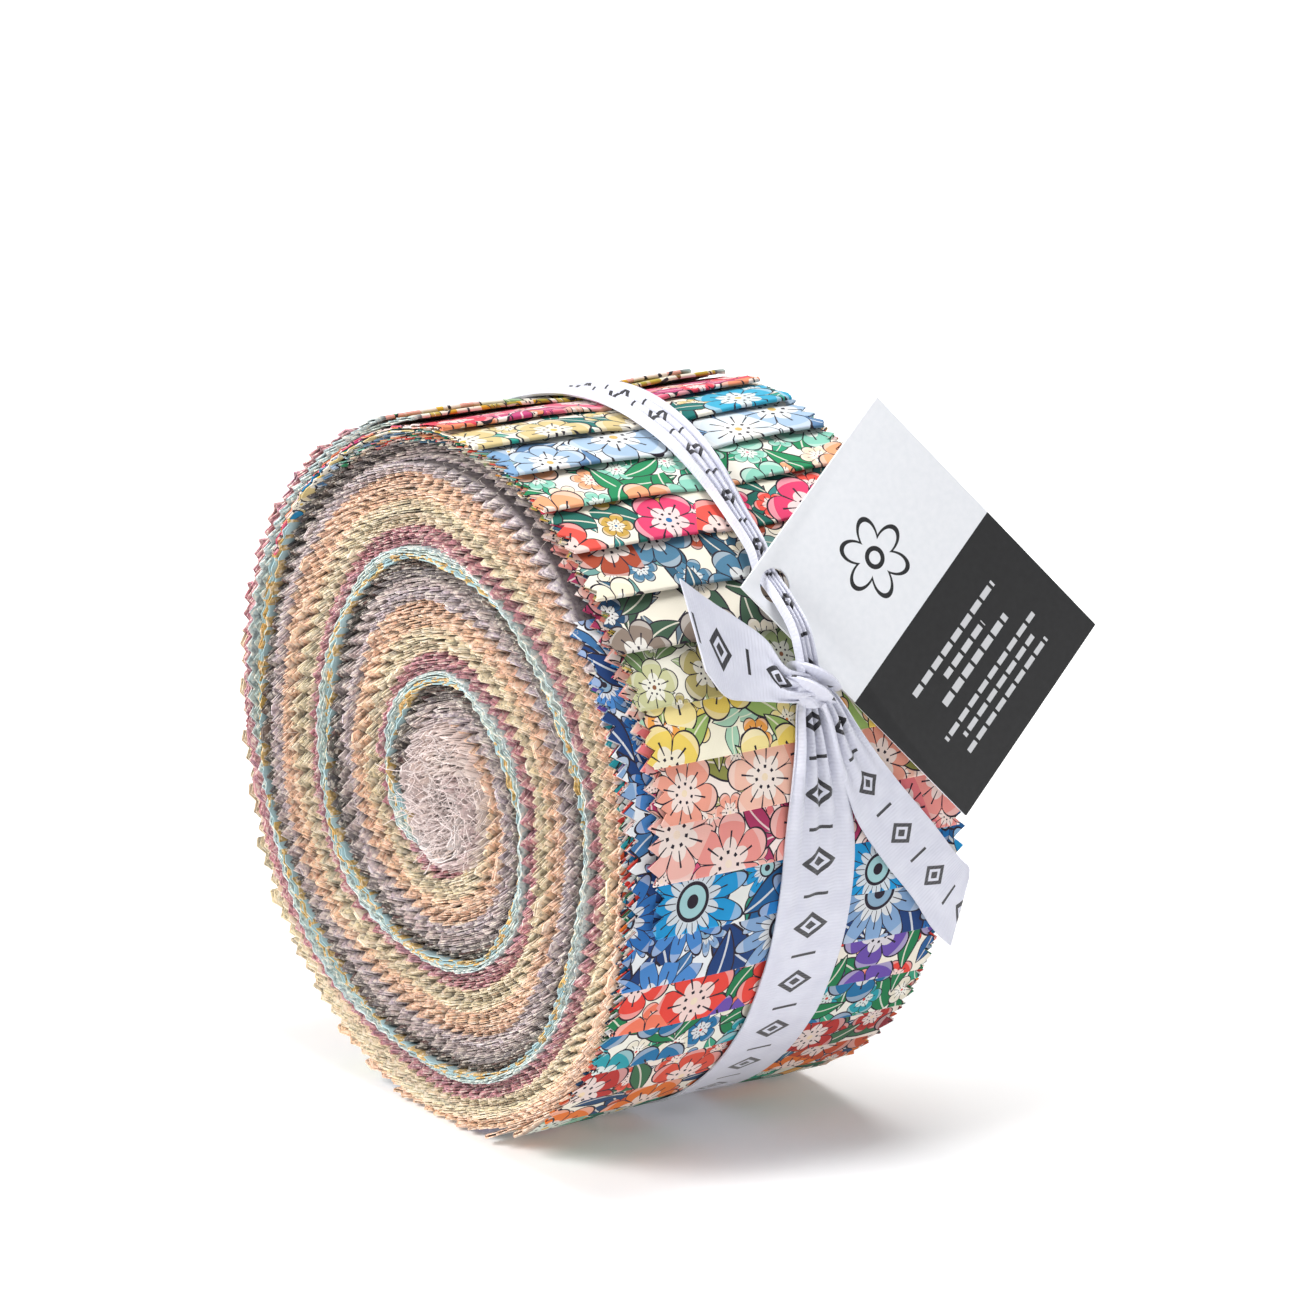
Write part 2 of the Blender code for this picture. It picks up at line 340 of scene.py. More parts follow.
# %% [markdown]
# ## The floor's glow
# The floor glows a little, more so away from the roll, so that it stays white where the lamps don't reach
# and the shadow under the roll stays dark.

# %% Glow
GLOW_NEAR, GLOW_FAR, GLOW_START, GLOW_RISE = 0.12, 0.70, 0.08, 0.9
glow = Sums(paper.node_tree)
spot = glow.vector("LENGTH", glow.node("ShaderNodeTexCoord").outputs["Object"], (0.0, 0.0, 0.0))
spot = spot.node.outputs["Value"]
away = glow.times(glow.most(glow.less(spot, GLOW_START), 0.0), GLOW_RISE)
strength = glow.least(glow.plus(away, GLOW_NEAR), GLOW_FAR)
glow.feed(paper_shader.inputs["Emission Strength"], strength)
print("floor glow from", GLOW_NEAR, "to", GLOW_FAR)

# %% [markdown]
# ## The printed flowers
# The prints are crowded garden flowers in flat colours with thin dark outlines. Each flower grows from a
# scattered middle: the angle round it makes the petals, the distance from it makes the eye, and chance
# picks its colour. Leaves are pointed ovals that grow from another scatter and lie below the flowers.

# %% A node group that prints flowers
group = bpy.data.node_groups.new("flower print", "ShaderNodeTree")
for socket_name, kind in (
    ("Place", "Vector"), ("Petals", "Float"), ("Ringed", "Float"), ("Ground", "Color"), ("First", "Color"),
    ("Second", "Color"), ("Third", "Color"), ("Leaf", "Color"), ("Sprig", "Color"), ("Eye", "Color"),
    ("Line", "Color"),
):
    group.interface.new_socket(socket_name, in_out="INPUT", socket_type=f"NodeSocket{kind}")
group.interface.new_socket("Color", in_out="OUTPUT", socket_type="NodeSocketColor")
draw = Sums(group)
given = draw.node("NodeGroupInput").outputs

# %% [markdown]
# Leaves come first, because the flowers lie over them.

# %% Leaves
FULL_CIRCLE = 6.283
PALE_THROAT, PALE_TIP = (0.95, 0.92, 0.86), (0.95, 0.92, 0.88)


def leaf_layer(below, scale, shift, length, width, tint, spread=0.85):
    """Pointed leaves with a pale vein, one to each scattered middle."""
    place = draw.vector("ADD", draw.vector("SCALE", given["Place"], scale), shift)
    local, _, chance = draw.cells(place, spread)
    turned = draw.node("ShaderNodeVectorRotate", rotation_type="Z_AXIS")
    draw.feed(turned.inputs["Vector"], local)
    draw.feed(turned.inputs["Angle"], draw.times(chance[0], FULL_CIRCLE))
    along, across, _ = draw.split(turned.outputs[0])
    bend = draw.times(draw.times(along, along), 0.35)
    across = draw.size(draw.less(across, bend))
    reach = draw.sum("POWER", draw.over(draw.size(along), length), 1.6)
    edge = draw.less(draw.less(1.0, reach), draw.over(across, width))
    color = draw.mix(draw.below(across, 0.014), tint, draw.mix(0.75, tint, given["Ground"]))
    color = draw.mix(draw.below(edge, 0.13), color, given["Line"])
    return draw.mix(draw.above(edge, 0.0), below, color)

# %% [markdown]
# A flower is drawn from the inside out: petals, a pale throat, pale tips, seams, veins, the eye and the
# outline. Flowers with many petals get a ringed eye, the others a ring of beads.

# %% Flowers
def flower_layer(below, scale, shift, size, spread=0.6):
    """Round flowers with outlined petals, pale throats and a ringed eye."""
    place = draw.vector("ADD", draw.vector("SCALE", given["Place"], scale), shift)
    local, far, chance = draw.cells(place, spread)
    x, y, _ = draw.split(local)
    turn = draw.plus(draw.sum("ARCTAN2", y, x), draw.times(chance[0], FULL_CIRCLE))
    wave = draw.size(draw.cosine(draw.times(draw.times(turn, given["Petals"]), 0.5)))
    lobe = draw.sum("POWER", wave, draw.plus(0.55, draw.times(given["Ringed"], 0.6)))
    own = draw.times(draw.plus(0.82, draw.times(chance[2], 0.25)), size)
    edge_at = draw.times(own, draw.plus(0.58, draw.times(lobe, 0.42)))
    edge = draw.less(edge_at, far)
    color = draw.mix(draw.above(chance[1], 0.42), given["First"], given["Second"])
    color = draw.mix(draw.above(chance[1], 0.78), color, given["Third"])
    inward = draw.over(far, own)
    throat = draw.times(draw.below(inward, draw.plus(0.34, draw.times(wave, 0.16))), 0.72)
    color = draw.mix(throat, color, PALE_THROAT)
    tip = draw.times(draw.above(inward, 0.80), 0.30)
    color = draw.mix(tip, color, PALE_TIP)
    seam = draw.times(draw.below(wave, 0.10), draw.above(inward, 0.30))
    color = draw.mix(seam, color, given["Line"])
    vein = draw.times(draw.above(wave, 0.994), draw.times(draw.above(inward, 0.30), draw.below(inward, 0.62)))
    color = draw.mix(vein, color, given["Line"])
    eye = draw.plus(0.08, draw.times(given["Ringed"], 0.18))
    color = draw.mix(draw.below(inward, eye), color, given["Eye"])
    ring = draw.below(draw.size(draw.less(inward, eye)), 0.028)
    color = draw.mix(draw.times(ring, given["Ringed"]), color, given["Line"])
    color = draw.mix(draw.times(draw.below(inward, 0.10), given["Ringed"]), color, given["Line"])
    beads = draw.above(draw.cosine(draw.times(turn, 7.0)), 0.45)
    beads = draw.times(beads, draw.below(draw.size(draw.less(inward, 0.22)), 0.035))
    color = draw.mix(draw.times(beads, draw.less(1.0, given["Ringed"])), color, given["Line"])
    color = draw.mix(draw.below(edge, 0.024), color, given["Line"])
    return draw.mix(draw.above(edge, 0.0), below, color)


print_color = leaf_layer(given["Ground"], 1.9, (3.1, 7.7, 0.0), 0.46, 0.20, given["Sprig"])
print_color = leaf_layer(print_color, 1.25, (9.4, 2.2, 0.0), 0.60, 0.23, given["Leaf"])
print_color = flower_layer(print_color, 1.7, (5.3, 1.9, 0.0), 0.46)
print_color = leaf_layer(print_color, 1.35, (1.4, 8.8, 0.0), 0.50, 0.19, given["Leaf"])
print_color = flower_layer(print_color, 1.0, (0.0, 0.0, 0.0), 0.56)
draw.feed(draw.node("NodeGroupOutput").inputs[0], print_color)
print("flower print nodes", len(group.nodes))

# %% [markdown]
# ## Forty colourways
# Every strip is cut from its own cloth, so every strip gets its own colours: a ground, three petal colours,
# two leaf colours and an eye, and how large the flowers are printed. The strips that end on the side that
# is seen first keep the order from the top down: mustard, pink, blues, greens, coral, yellow, salmon,
# blues, reds.

# %% The colours of each cloth
# ground, first, second, third, leaf, sprig, eye, petals, flower width in metres
CLOTHS = {
    "meadow": ("F6F1E6", "E9A9A0", "F3EFE4", "D9A63A", "5E9E6B", "A9C8A0", "E2B23C", 6, 0.010),
    "mustard": ("F7F0DE", "D9A52F", "B9A33B", "EBCB78", "A79A3A", "C9B65A", "7A5A2A", 5, 0.009),
    "carnation": ("FBE9E4", "EE6A86", "F0906A", "E8455A", "C6407A", "F2B7A8", "F6E6C9", 5, 0.010),
    "lagoon": ("F3EEDF", "D9C48B", "1E86B8", "37A9CC", "0F6F6A", "2B9C8C", "E3C05A", 6, 0.011),
    "mist": ("E8EEF2", "A9C3DC", "7FA6CC", "DCE6EC", "5F86B0", "8FB0B8", "D8B56A", 6, 0.011),
    "mint": ("F5F0E4", "8CCDB8", "F2A97C", "F6DCC4", "1F8A58", "2F9F76", "EE8D9A", 6, 0.010),
    "pansy": ("F6EEDD", "F0564A", "E2416F", "C9A24A", "1E6A5E", "3B8A86", "1E6FA8", 5, 0.010),
    "harbour": ("F3ECDB", "4F7F9C", "F0E6CE", "A8492F", "2E5A72", "6E9A94", "B23A34", 6, 0.010),
    "ink": ("F1EAD9", "1F4566", "8A7A6E", "E9DFCB", "3E5A46", "6C7F8C", "B8392F", 6, 0.010),
    "sage": ("F2EEDF", "9FAE7C", "C9C99A", "B4A66A", "6F8A5A", "A4B48A", "8A5A3C", 5, 0.0065),
    "lemon": ("FBF4DC", "F0D264", "F6E29A", "EFA24C", "9CB868", "A8D0B4", "E8863C", 5, 0.010),
    "salmon": ("FCEDE4", "F2A48F", "F6C2AE", "EE8A78", "8E8F4A", "B7B27A", "F6E0C0", 6, 0.010),
    "blush": ("FCEBE6", "F29A92", "F7BDB2", "EC7E84", "B23A66", "E0577E", "F9E4D0", 6, 0.010),
    "cyan": ("F1F2EE", "1E9AD8", "1C78C0", "5CB8E4", "1A5C94", "2F8C74", "A8D4D8", 11, 0.0135),
    "cornflower": ("EDF0F3", "4A88CC", "86A8D0", "2B6DB4", "1D3F78", "3F74A8", "8FAFC8", 11, 0.0130),
    "poppy": ("F4ECDD", "E8473C", "F07A5E", "6B4FA8", "1E7A4C", "2A5C94", "F6E2C6", 5, 0.010),
    "peacock": ("EFEDE2", "1F6FA0", "2A9CA8", "E9E2CF", "1C7A4A", "3A9E7C", "D0342C", 5, 0.009),
    "brick": ("F2E4D8", "B8332E", "D9503C", "8A2A34", "3C6B4A", "1F5A7A", "F2D9B4", 6, 0.010),
    "rust": ("F4ECDC", "E8782E", "C9502A", "F0A24C", "22486E", "3C6E8C", "F2D27A", 6, 0.010),
    "apricot": ("FBEFE0", "F2A66A", "F6C79A", "E87A5A", "5E9A6A", "9CC09A", "B8452F", 6, 0.010),
    "crimson": ("F8E8E2", "D93A5C", "EE8AA0", "B8284C", "2E7A6A", "7FB09A", "F4DDB8", 5, 0.010),
    "coral": ("FAF1E2", "F07F62", "F4A68C", "E25A4C", "2F8A5C", "7CB48C", "F6E8C8", 6, 0.011),
    "emerald": ("F4F0E0", "1FA07A", "0F7A62", "9CD0B4", "1E6A48", "E8A23C", "F0C24A", 6, 0.0115),
    "lilac": ("F2EDF0", "A48CC4", "C9B4DA", "7C6AAE", "5E8A7A", "9CB4B0", "E8C25A", 6, 0.010),
}
ORDER = [
    "blush", "cyan", "cornflower", "poppy", "peacock", "brick", "rust", "emerald", "apricot", "lilac",
    "mint", "crimson", "mist", "lemon", "harbour", "coral", "sage", "lagoon", "carnation", "meadow",
    "ink", "apricot", "pansy", "mint", "mustard", "cyan", "coral", "lilac", "meadow", "mustard",
    "carnation", "lagoon", "mist", "mint", "pansy", "harbour", "ink", "sage", "lemon", "salmon",
]

# The shade that the stacked cut edges show, strip after strip towards the middle. Slot names come first.
SLOTS = (
    ("cotton_blue", 1), ("cotton_gold", 1), ("cotton_grey", 15), ("cotton_peach", 7), ("cotton_olive", 9),
    ("cotton_mauve", 7),
)
TINTS = (
    ("A9C4C8", 1), ("D2A544", 2), ("3E3840", 3), ("8A7F87", 3), ("CBBDC3", 7), ("F6CBAE", 9), ("E9DCBC", 8),
    ("C98496", 6), ("A9C4C8", 1),
)
FIRST_SHADE = 29
# The blue and the gold of the narrow ledge, whose edges are hardly pinked.
LEDGE = ("A9C4C8", "D2A544")


def pick(table, index):
    """The entry of a table of (value, how many strips) that a strip falls in."""
    place = (index - FIRST_SHADE) % len(STRIPS)
    for value, count in table:
        if place < count:
            return value
        place -= count
    raise ValueError("the table doesn't cover every strip")


print(len(set(ORDER)), "colourways on", len(ORDER), "strips")

# %% [markdown]
# ## The cloth's finish
# The outer end of each strip shows its print. Further in, only the pinked edge shows, and what is seen
# there is the pale back of the cloth, cut threads and painted shade between the layers, so the edge's own
# tint takes over. The cloth's own UV map is in metres: along the strip from the fold, and across it.

# %% Cotton
chance = np.random.default_rng(4)
# How far from the fold the print still shows, and where the frayed middle begins.
PRINT_REACH, FRAY_START = 0.062, 0.535
# The stack of cut edges shows to this depth, and painted shade between the layers darkens it between these
# two depths.
EDGE_DEPTH, LAYER_SHADE_START, LAYER_SHADE_RANGE = 0.0026, 0.0007, 0.0021
# Strips whose edges show their back and not their print where the outer ends overlap.
BACK_SHOWS = range(7, 30)
SHADE_SOCKETS = ("Ground", "First", "Second", "Third", "Leaf", "Sprig", "Eye", "Line")
OUTLINE = "2C2430"


def cotton(index):
    code = pick(TINTS, index)
    *shades, petals, size = CLOTHS[ORDER[index]]
    material, sums, shader = new_material(f"cotton {index + 1:02d} {ORDER[index]}")
    flat = sums.node("ShaderNodeUVMap", uv_map="cloth").outputs[0]
    moved = sums.vector("ADD", flat, (0.137 * index, 0.071 * index, 0.0))
    printed = sums.node("ShaderNodeGroup", node_tree=group)
    sums.feed(printed.inputs["Place"], sums.vector("SCALE", moved, 0.70 / size))
    sums.feed(printed.inputs["Petals"], float(petals))
    sums.feed(printed.inputs["Ringed"], 1.0 if petals > 7 else 0.0)
    for socket, value in zip(SHADE_SOCKETS, (*shades, OUTLINE)):
        sums.feed(printed.inputs[socket], linear(value))
    along, across, _ = sums.split(flat)
    fleck, patch = sums.noise(flat, 1100.0), sums.noise(moved, 160.0)
    value = 0.86 + 0.28 * chance.random()
    shade = tuple(part * value * (0.97 + 0.06 * chance.random()) for part in linear(code))
    back = sums.mix(0.10, shade, printed.outputs[0])
    back = sums.mix(sums.times(patch, 0.30), back, linear("F3E1CB"))
    back = sums.mix(sums.times(sums.above(fleck, 0.60), 0.45), back, linear("352C34"))
    back = sums.mix(sums.times(sums.below(fleck, 0.42), 0.60), back, linear("FBF1E2"))
    if code == LEDGE[1]:
        dashes = sums.above(sums.noise(along, 210.0, "1D"), 0.5)
        back = sums.mix(dashes, back, linear(LEDGE[0]))
    far = sums.size(along)
    rim = sums.size(sums.less(across, STRIP_WIDTH / 2))
    inner = sums.above(far, PRINT_REACH)
    if index in BACK_SHOWS:
        inner = sums.most(inner, sums.above(rim, STRIP_WIDTH / 2 - EDGE_DEPTH))
    # Painted shade between the layers: the cloth's colour darkens with depth from its cut edge.
    painted_layer_shade = sums.over(sums.less(STRIP_WIDTH / 2 - LAYER_SHADE_START, rim), LAYER_SHADE_RANGE)
    painted_layer_shade = sums.least(sums.most(painted_layer_shade, 0.0), 1.0)
    back = sums.mix(sums.times(painted_layer_shade, 0.88), back, linear("33282C"))
    back = sums.vector("SCALE", back, 1.18)
    back = sums.mix(sums.times(sums.above(far, FRAY_START), 0.8), back, linear("F1E2DF"))
    color = sums.mix(inner, printed.outputs[0], back)
    tone = sums.plus(0.79, sums.times(patch, 0.14))
    color = sums.vector("SCALE", color, tone)
    sums.feed(shader.inputs["Base Color"], color)
    weave = []
    for direction in ("X", "Y"):
        thread = sums.node("ShaderNodeTexWave", bands_direction=direction)
        sums.feed(thread.inputs["Vector"], flat)
        thread.inputs["Scale"].default_value = 1100.0
        thread.inputs["Distortion"].default_value = 0.6
        weave.append(thread.outputs["Fac"])
    set_bump(sums, shader, sums.times(weave[0], weave[1]), 0.35, 0.00006)
    shader.inputs["Roughness"].default_value = 0.88
    shader.inputs["Specular IOR Level"].default_value = 0.25
    shader.inputs["Sheen Weight"].default_value = 0.08
    return material

# %% [markdown]
# ## Cutting, folding and winding a strip
# A strip starts as a flat grid with a column at every point and notch of its pinked edge. Its two long
# edges are cut to a zigzag, and the whole sheet is then folded over its middle and carried round the
# winding. Making it flat first keeps its real length and width, and keeps the print straight on the cloth.

# %% Points and notches
NOTCH_PITCH = 0.0031
NOTCH_DEPTH = 0.0022
CLOTH = 0.00018
LAYER = 0.00012
ROWS = np.array([0.0, 0.0022, 0.0080, 0.0180, 0.0262, 0.0308, 0.0400, 0.0448, 0.0530, 0.0612, STRIP_WIDTH])
FOLD_HALF = math.pi * LAYER / 2
# How far, in millimetres, the outer end of a strip has slid back from the near face.
SLIDES = {
    0: 3.0, 1: 4.4, 29: 1.0, 30: 1.2, 31: 1.4, 32: 1.7, 33: 2.0, 34: 2.4, 35: 2.8, 36: 3.4, 37: 4.2, 38: 4.8,
    39: 4.6,
}


def notch_columns(index):
    """Where the points and notches of the pinked edge come, as distances from the outer end.

    The points of neighbouring layers stand over each other, a bundle of layers at a time, and lean one way in
    one shade and the other way in the next."""
    end_angle = -index * STEP
    place = (index - FIRST_SHADE) % len(STRIPS)
    lean = 0.17 * abs((place + 4) % 16 - 8) + 0.05 * chance.standard_normal()
    distance = np.linspace(0.0, STRIP_LENGTH / 2 - FOLD_HALF, 6000)
    turn = np.sqrt(FULL_TURN ** 2 - 2 * distance / BASE)
    angle = end_angle + FULL_TURN - turn
    bundle = np.floor(rope(BASE * np.hypot(1.0, turn)) + 0.5)
    columns = []
    for number in np.unique(bundle):
        inside = bundle == number
        count = max(round(math.tau * number * BUNDLE / NOTCH_PITCH), 8)
        halves = 2 * (angle[inside] * count / math.tau + lean)
        first, last = math.ceil(halves[0]), math.floor(halves[-1])
        wanted = np.arange(first, last + 1)
        columns += list(zip(np.interp(wanted, halves, distance[inside]), wanted % 2))
    places = np.array(sorted(columns))
    gaps = np.diff(places[:, 0], prepend=-1.0)
    places = places[(gaps > 0.0004) & (places[:, 0] > 0.0006)]
    places[:, 0] += chance.uniform(-0.00012, 0.00012, len(places))
    return places


def strip_columns(index):
    """Places along the flat cloth, 0 at the fold, and how deep the pinked edge is cut at each."""
    half = STRIP_LENGTH / 2
    places = notch_columns(index)
    away = places[:, 0] + FOLD_HALF
    fold = np.linspace(-0.0003, 0.0003, 9)
    columns = np.concatenate([[-half], -away[::-1], fold, away, [half]])
    depth = np.concatenate([[0.5], places[::-1, 1], np.full(9, 0.5), places[:, 1], [0.5]])
    return columns, depth


print("points are", NOTCH_PITCH * 1000, "mm apart and", NOTCH_DEPTH * 1000, "mm deep")

# %% [markdown]
# The flat cloth is a grid from the primitives menu, laid out again so that its columns stand at the points
# and notches. Its UV map keeps the flat place of every corner, and a thin shell gives it thickness.

# %% Laying and finishing cloth
def lay_grid(name, columns, rows):
    """A flat grid with its UV map in metres; returns it and each vertex's column and row."""
    bpy.ops.object.select_all(action="DESELECT")
    bpy.ops.mesh.primitive_grid_add(x_subdivisions=columns - 1, y_subdivisions=rows - 1, size=2.0)
    piece = bpy.context.object
    piece.name = name
    flat = vert_places(piece)
    column = np.rint((flat[:, 0] + 1) / 2 * (columns - 1)).astype(int)
    row = np.rint((flat[:, 1] + 1) / 2 * (rows - 1)).astype(int)
    return piece, column, row


def write_cloth(piece, places, cloth_u, cloth_v):
    """Moves the grid's vertices and writes where each was on the flat cloth."""
    piece.data.vertices.foreach_set("co", places.astype(np.float32).ravel())
    layer = piece.data.uv_layers[0]
    layer.name = "cloth"
    corner = corner_verts(piece)
    layer.data.foreach_set("uv", np.stack([cloth_u[corner], cloth_v[corner]], 1).astype(np.float32).ravel())
    piece.data.update()


def finish_cloth(piece, thickness, angle=40.0):
    pick_out(piece)
    shell = piece.modifiers.new("thickness", "SOLIDIFY")
    shell.thickness = thickness
    shell.offset = 0.0
    shell.use_even_offset = False
    bpy.ops.object.modifier_apply(modifier=shell.name)
    bpy.ops.object.shade_smooth_by_angle(angle=math.radians(angle))

# %% [markdown]
# Now the strip is pinked, folded and wound. Its outer end lifts a little over the next one, except where the
# ribbon presses it and where the card lies on it. Towards the middle it is crumpled, and the outer ends have
# slid back from the near face.

# %% Pinking, folding and winding
CARD_LEAN = math.radians(20.0)


def wrapped(angle):
    """An angle brought between half a turn back and half a turn on."""
    return (angle + math.pi) % math.tau - math.pi


def cut_rows(depth, share):
    """The width coordinate of every column and row, with both long edges pinked."""
    across = np.tile(ROWS, (len(depth), 1))
    for edge, sign in ((0, 1.0), (len(ROWS) - 1, -1.0)):
        cut = NOTCH_DEPTH * share * (0.88 + 0.24 * chance.random(len(depth)))
        across[:, edge] += sign * cut * depth
    return across


def make_strip(index):
    columns, depth = strip_columns(index)
    piece, column, row = lay_grid(f"cotton_strip_{index + 1:02d}", len(columns), len(ROWS))
    plain = pick(TINTS, index) in LEDGE
    rim = (np.abs(columns) < 0.09) & (index in BACK_SHOWS)
    across = cut_rows(depth, np.where(rim, 0.5, 0.25 if plain else 1.0))
    away = np.abs(columns)
    distance = np.maximum(away - FOLD_HALF, 0.0)
    lean = np.clip(columns / FOLD_HALF, -1.0, 1.0) * math.pi / 2
    puff = 1.0 + 1.2 * np.exp(-distance / 0.0035)
    out = LAYER * puff * np.sin(lean)
    forward = LAYER * puff * np.cos(lean) * (away <= FOLD_HALF)
    end_angle = -index * STEP
    u, v = columns[column], across[column, row]
    y = v - STRIP_WIDTH / 2
    pressed = np.exp(-(np.abs(y - RIBBON_Y) / 0.0092) ** 4)
    _, _, turned = wind(distance[column], end_angle, 0.0)
    beside_card = np.exp(-(wrapped(turned - CARD_LEAN) / 0.23) ** 4)
    beside_card *= 1.0 - 0.15 * smooth(-0.002, -0.008, y)
    free = (1.0 - pressed) * (1.0 - beside_card)
    height = 0.00080 if plain or index < 9 or index > 28 else 0.00030
    lift = height * np.exp(-(distance[column] / 0.0050) ** 2) * free
    lift -= 0.00020 * pressed * (distance[column] < 0.02)
    x, z, angle = wind(distance[column], end_angle, out[column] + lift)
    x = x + forward[column] * np.sin(angle)
    z = z - forward[column] * np.cos(angle)
    radius = np.maximum(np.hypot(x, z), 1e-4)
    core = smooth(0.0125, 0.0060, radius)
    edge = np.where((row == 0) | (row == len(ROWS) - 1), 1.0, 0.0)
    flutter = 0.00007 * chance.standard_normal((len(columns), 2))[column, (row > 5).astype(int)]
    shift = edge * (flutter + 0.00010 * np.sin(u / 0.0043 + 1.7 * index)) + core * 0.0004 * np.sin(u / 0.003)
    shift += 0.00010 * np.sin(v / 0.0075 + 2.0 * index) * (np.abs(u) < 0.03) * (1.0 - pressed)
    x, z = x * (1.0 + shift / radius), z * (1.0 + shift / radius)
    slid = SLIDES.get(index, 0.0) / 1000 * (1.0 - smooth(1.0, 3.4, angle - end_angle))
    slid = slid * (1.0 - 0.65 * v / STRIP_WIDTH)
    wander = 0.0003 * chance.uniform(-1, 1) + 0.00012 * np.sin(u / 0.013 + index)
    crumple = core * edge * 0.0016 * np.sin(u / 0.0021 + 3.0 * index)
    forward_line = -0.0007 * plain * (1.0 - core)
    y = y + bulge(x, z, radius) + slid + wander + crumple + forward_line
    x, z = relax(x, z)
    write_cloth(piece, np.stack([x, y, z + AXIS.z], 1), u, v)
    finish_cloth(piece, CLOTH)
    piece.data.materials.append(cotton(index))
    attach(piece, "roll")
    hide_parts(STRIPS[index])
    pick(SLOTS, index)
    return piece


cotton_strips = [make_strip(index) for index in range(len(STRIPS))]
print("one strip has", len(cotton_strips[0].data.polygons), "faces")

# %% [markdown]
# ## Loose threads
# Cut cotton frays. In the middle of the roll the ends of all forty strips meet in a nest of pale threads,
# and finer hairs stand on the pinked edges. Each thread is a thin tube of three sides that bends as it
# goes.

# %% Threads
def thread_mesh(name, roots, ways, lengths, thick, curl, steps):
    """Many thin bent tubes in one mesh."""
    count = len(roots)
    reach = np.linspace(0.0, 1.0, steps)[None, :, None]
    bend = chance.standard_normal((count, 1, 3)) * curl
    twist = chance.standard_normal((count, 1, 3)) * curl * 0.6
    line = roots[:, None] + ways[:, None] * (reach * lengths[:, None, None])
    line = line + (bend * reach ** 2 + twist * np.sin(reach * 5.0)) * lengths[:, None, None]
    width = thick * (1.0 - 0.6 * reach)
    first = unit(np.cross(ways, [0.3, 0.9, 0.2]))
    second = np.cross(ways, first)
    rings = []
    for corner in range(3):
        turn = corner * math.tau / 3
        rings.append(line + width * (first[:, None] * math.cos(turn) + second[:, None] * math.sin(turn)))
    verts = np.stack(rings, 2).reshape(-1, 3)
    faces = []
    for thread in range(count):
        start = thread * steps * 3
        for step in range(steps - 1):
            base = start + step * 3
            for corner in range(3):
                after = (corner + 1) % 3
                faces.append((base + corner, base + after, base + 3 + after, base + 3 + corner))
        faces.append((start + 2, start + 1, start))
        last = start + (steps - 1) * 3
        faces.append((last, last + 1, last + 2))
    mesh = bpy.data.meshes.new(name)
    mesh.from_pydata(verts.tolist(), [], faces)
    piece = bpy.data.objects.new(name, mesh)
    bpy.context.scene.collection.objects.link(piece)
    mesh.shade_smooth()
    return piece


def thread_finish(name, light, shade):
    material, sums, shader = new_material(name)
    place = sums.node("ShaderNodeTexCoord").outputs["Object"]
    noise = sums.noise(place, 420.0, "3D")
    sums.feed(shader.inputs["Base Color"], sums.mix(noise, linear(shade), linear(light)))
    shader.inputs["Roughness"].default_value = 0.9
    shader.inputs["Sheen Weight"].default_value = 0.2
    return material


def scatter(count, inner, outer, face):
    """Roots on one face of the roll, and ways that point mostly outwards."""
    radius = np.sqrt(chance.uniform(inner ** 2, outer ** 2, count))
    angle = chance.uniform(0, math.tau, count)
    x, z = relax(radius * np.cos(angle), radius * np.sin(angle))
    y = face * (STRIP_WIDTH / 2 - 0.0012) + bulge(x, z, radius)
    roots = np.stack([x, y, z + AXIS.z], 1)
    across = chance.normal(0, 0.55, count)
    outwards = face * np.abs(chance.normal(0.9, 0.25, count))
    ways = np.stack([across, outwards, chance.normal(0, 0.55, count)], 1)
    return roots, unit(ways)


core_material = thread_finish("frayed cotton", "FBF1EE", "E3CDC8")
hair_material = thread_finish("cut thread ends", "F3E9E0", "B8A79E")
for label, face in (("near", -1.0), ("far", 1.0)):
    for kind, count, inner, outer, short, long, thick, curl, steps, material in (
        ("core_threads", 640, 0.0, 0.0102, 0.0012, 0.0034, 0.00015, 0.55, 7, core_material),
        ("edge_hairs", 1300, 0.010, ROLL_RADIUS - 0.001, 0.0008, 0.0018, 0.00004, 0.35, 4, hair_material),
    ):
        roots, ways = scatter(count, inner, outer, face)
        lengths = chance.uniform(short, long, count)
        threads = thread_mesh(f"{kind}_{label}", roots, ways, lengths, thick, curl, steps)
        threads.data.materials.append(material)
        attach(threads, "roll")
        print(threads.name, "has", count, "threads")

# %% [markdown]
# ## Satin ribbon
# The ribbon is pale, with fine ribs across it and a soft shine. Where it is drawn together it falls into
# pleats, so its cross-section turns from a flat line into a wave that keeps the ribbon's real width.

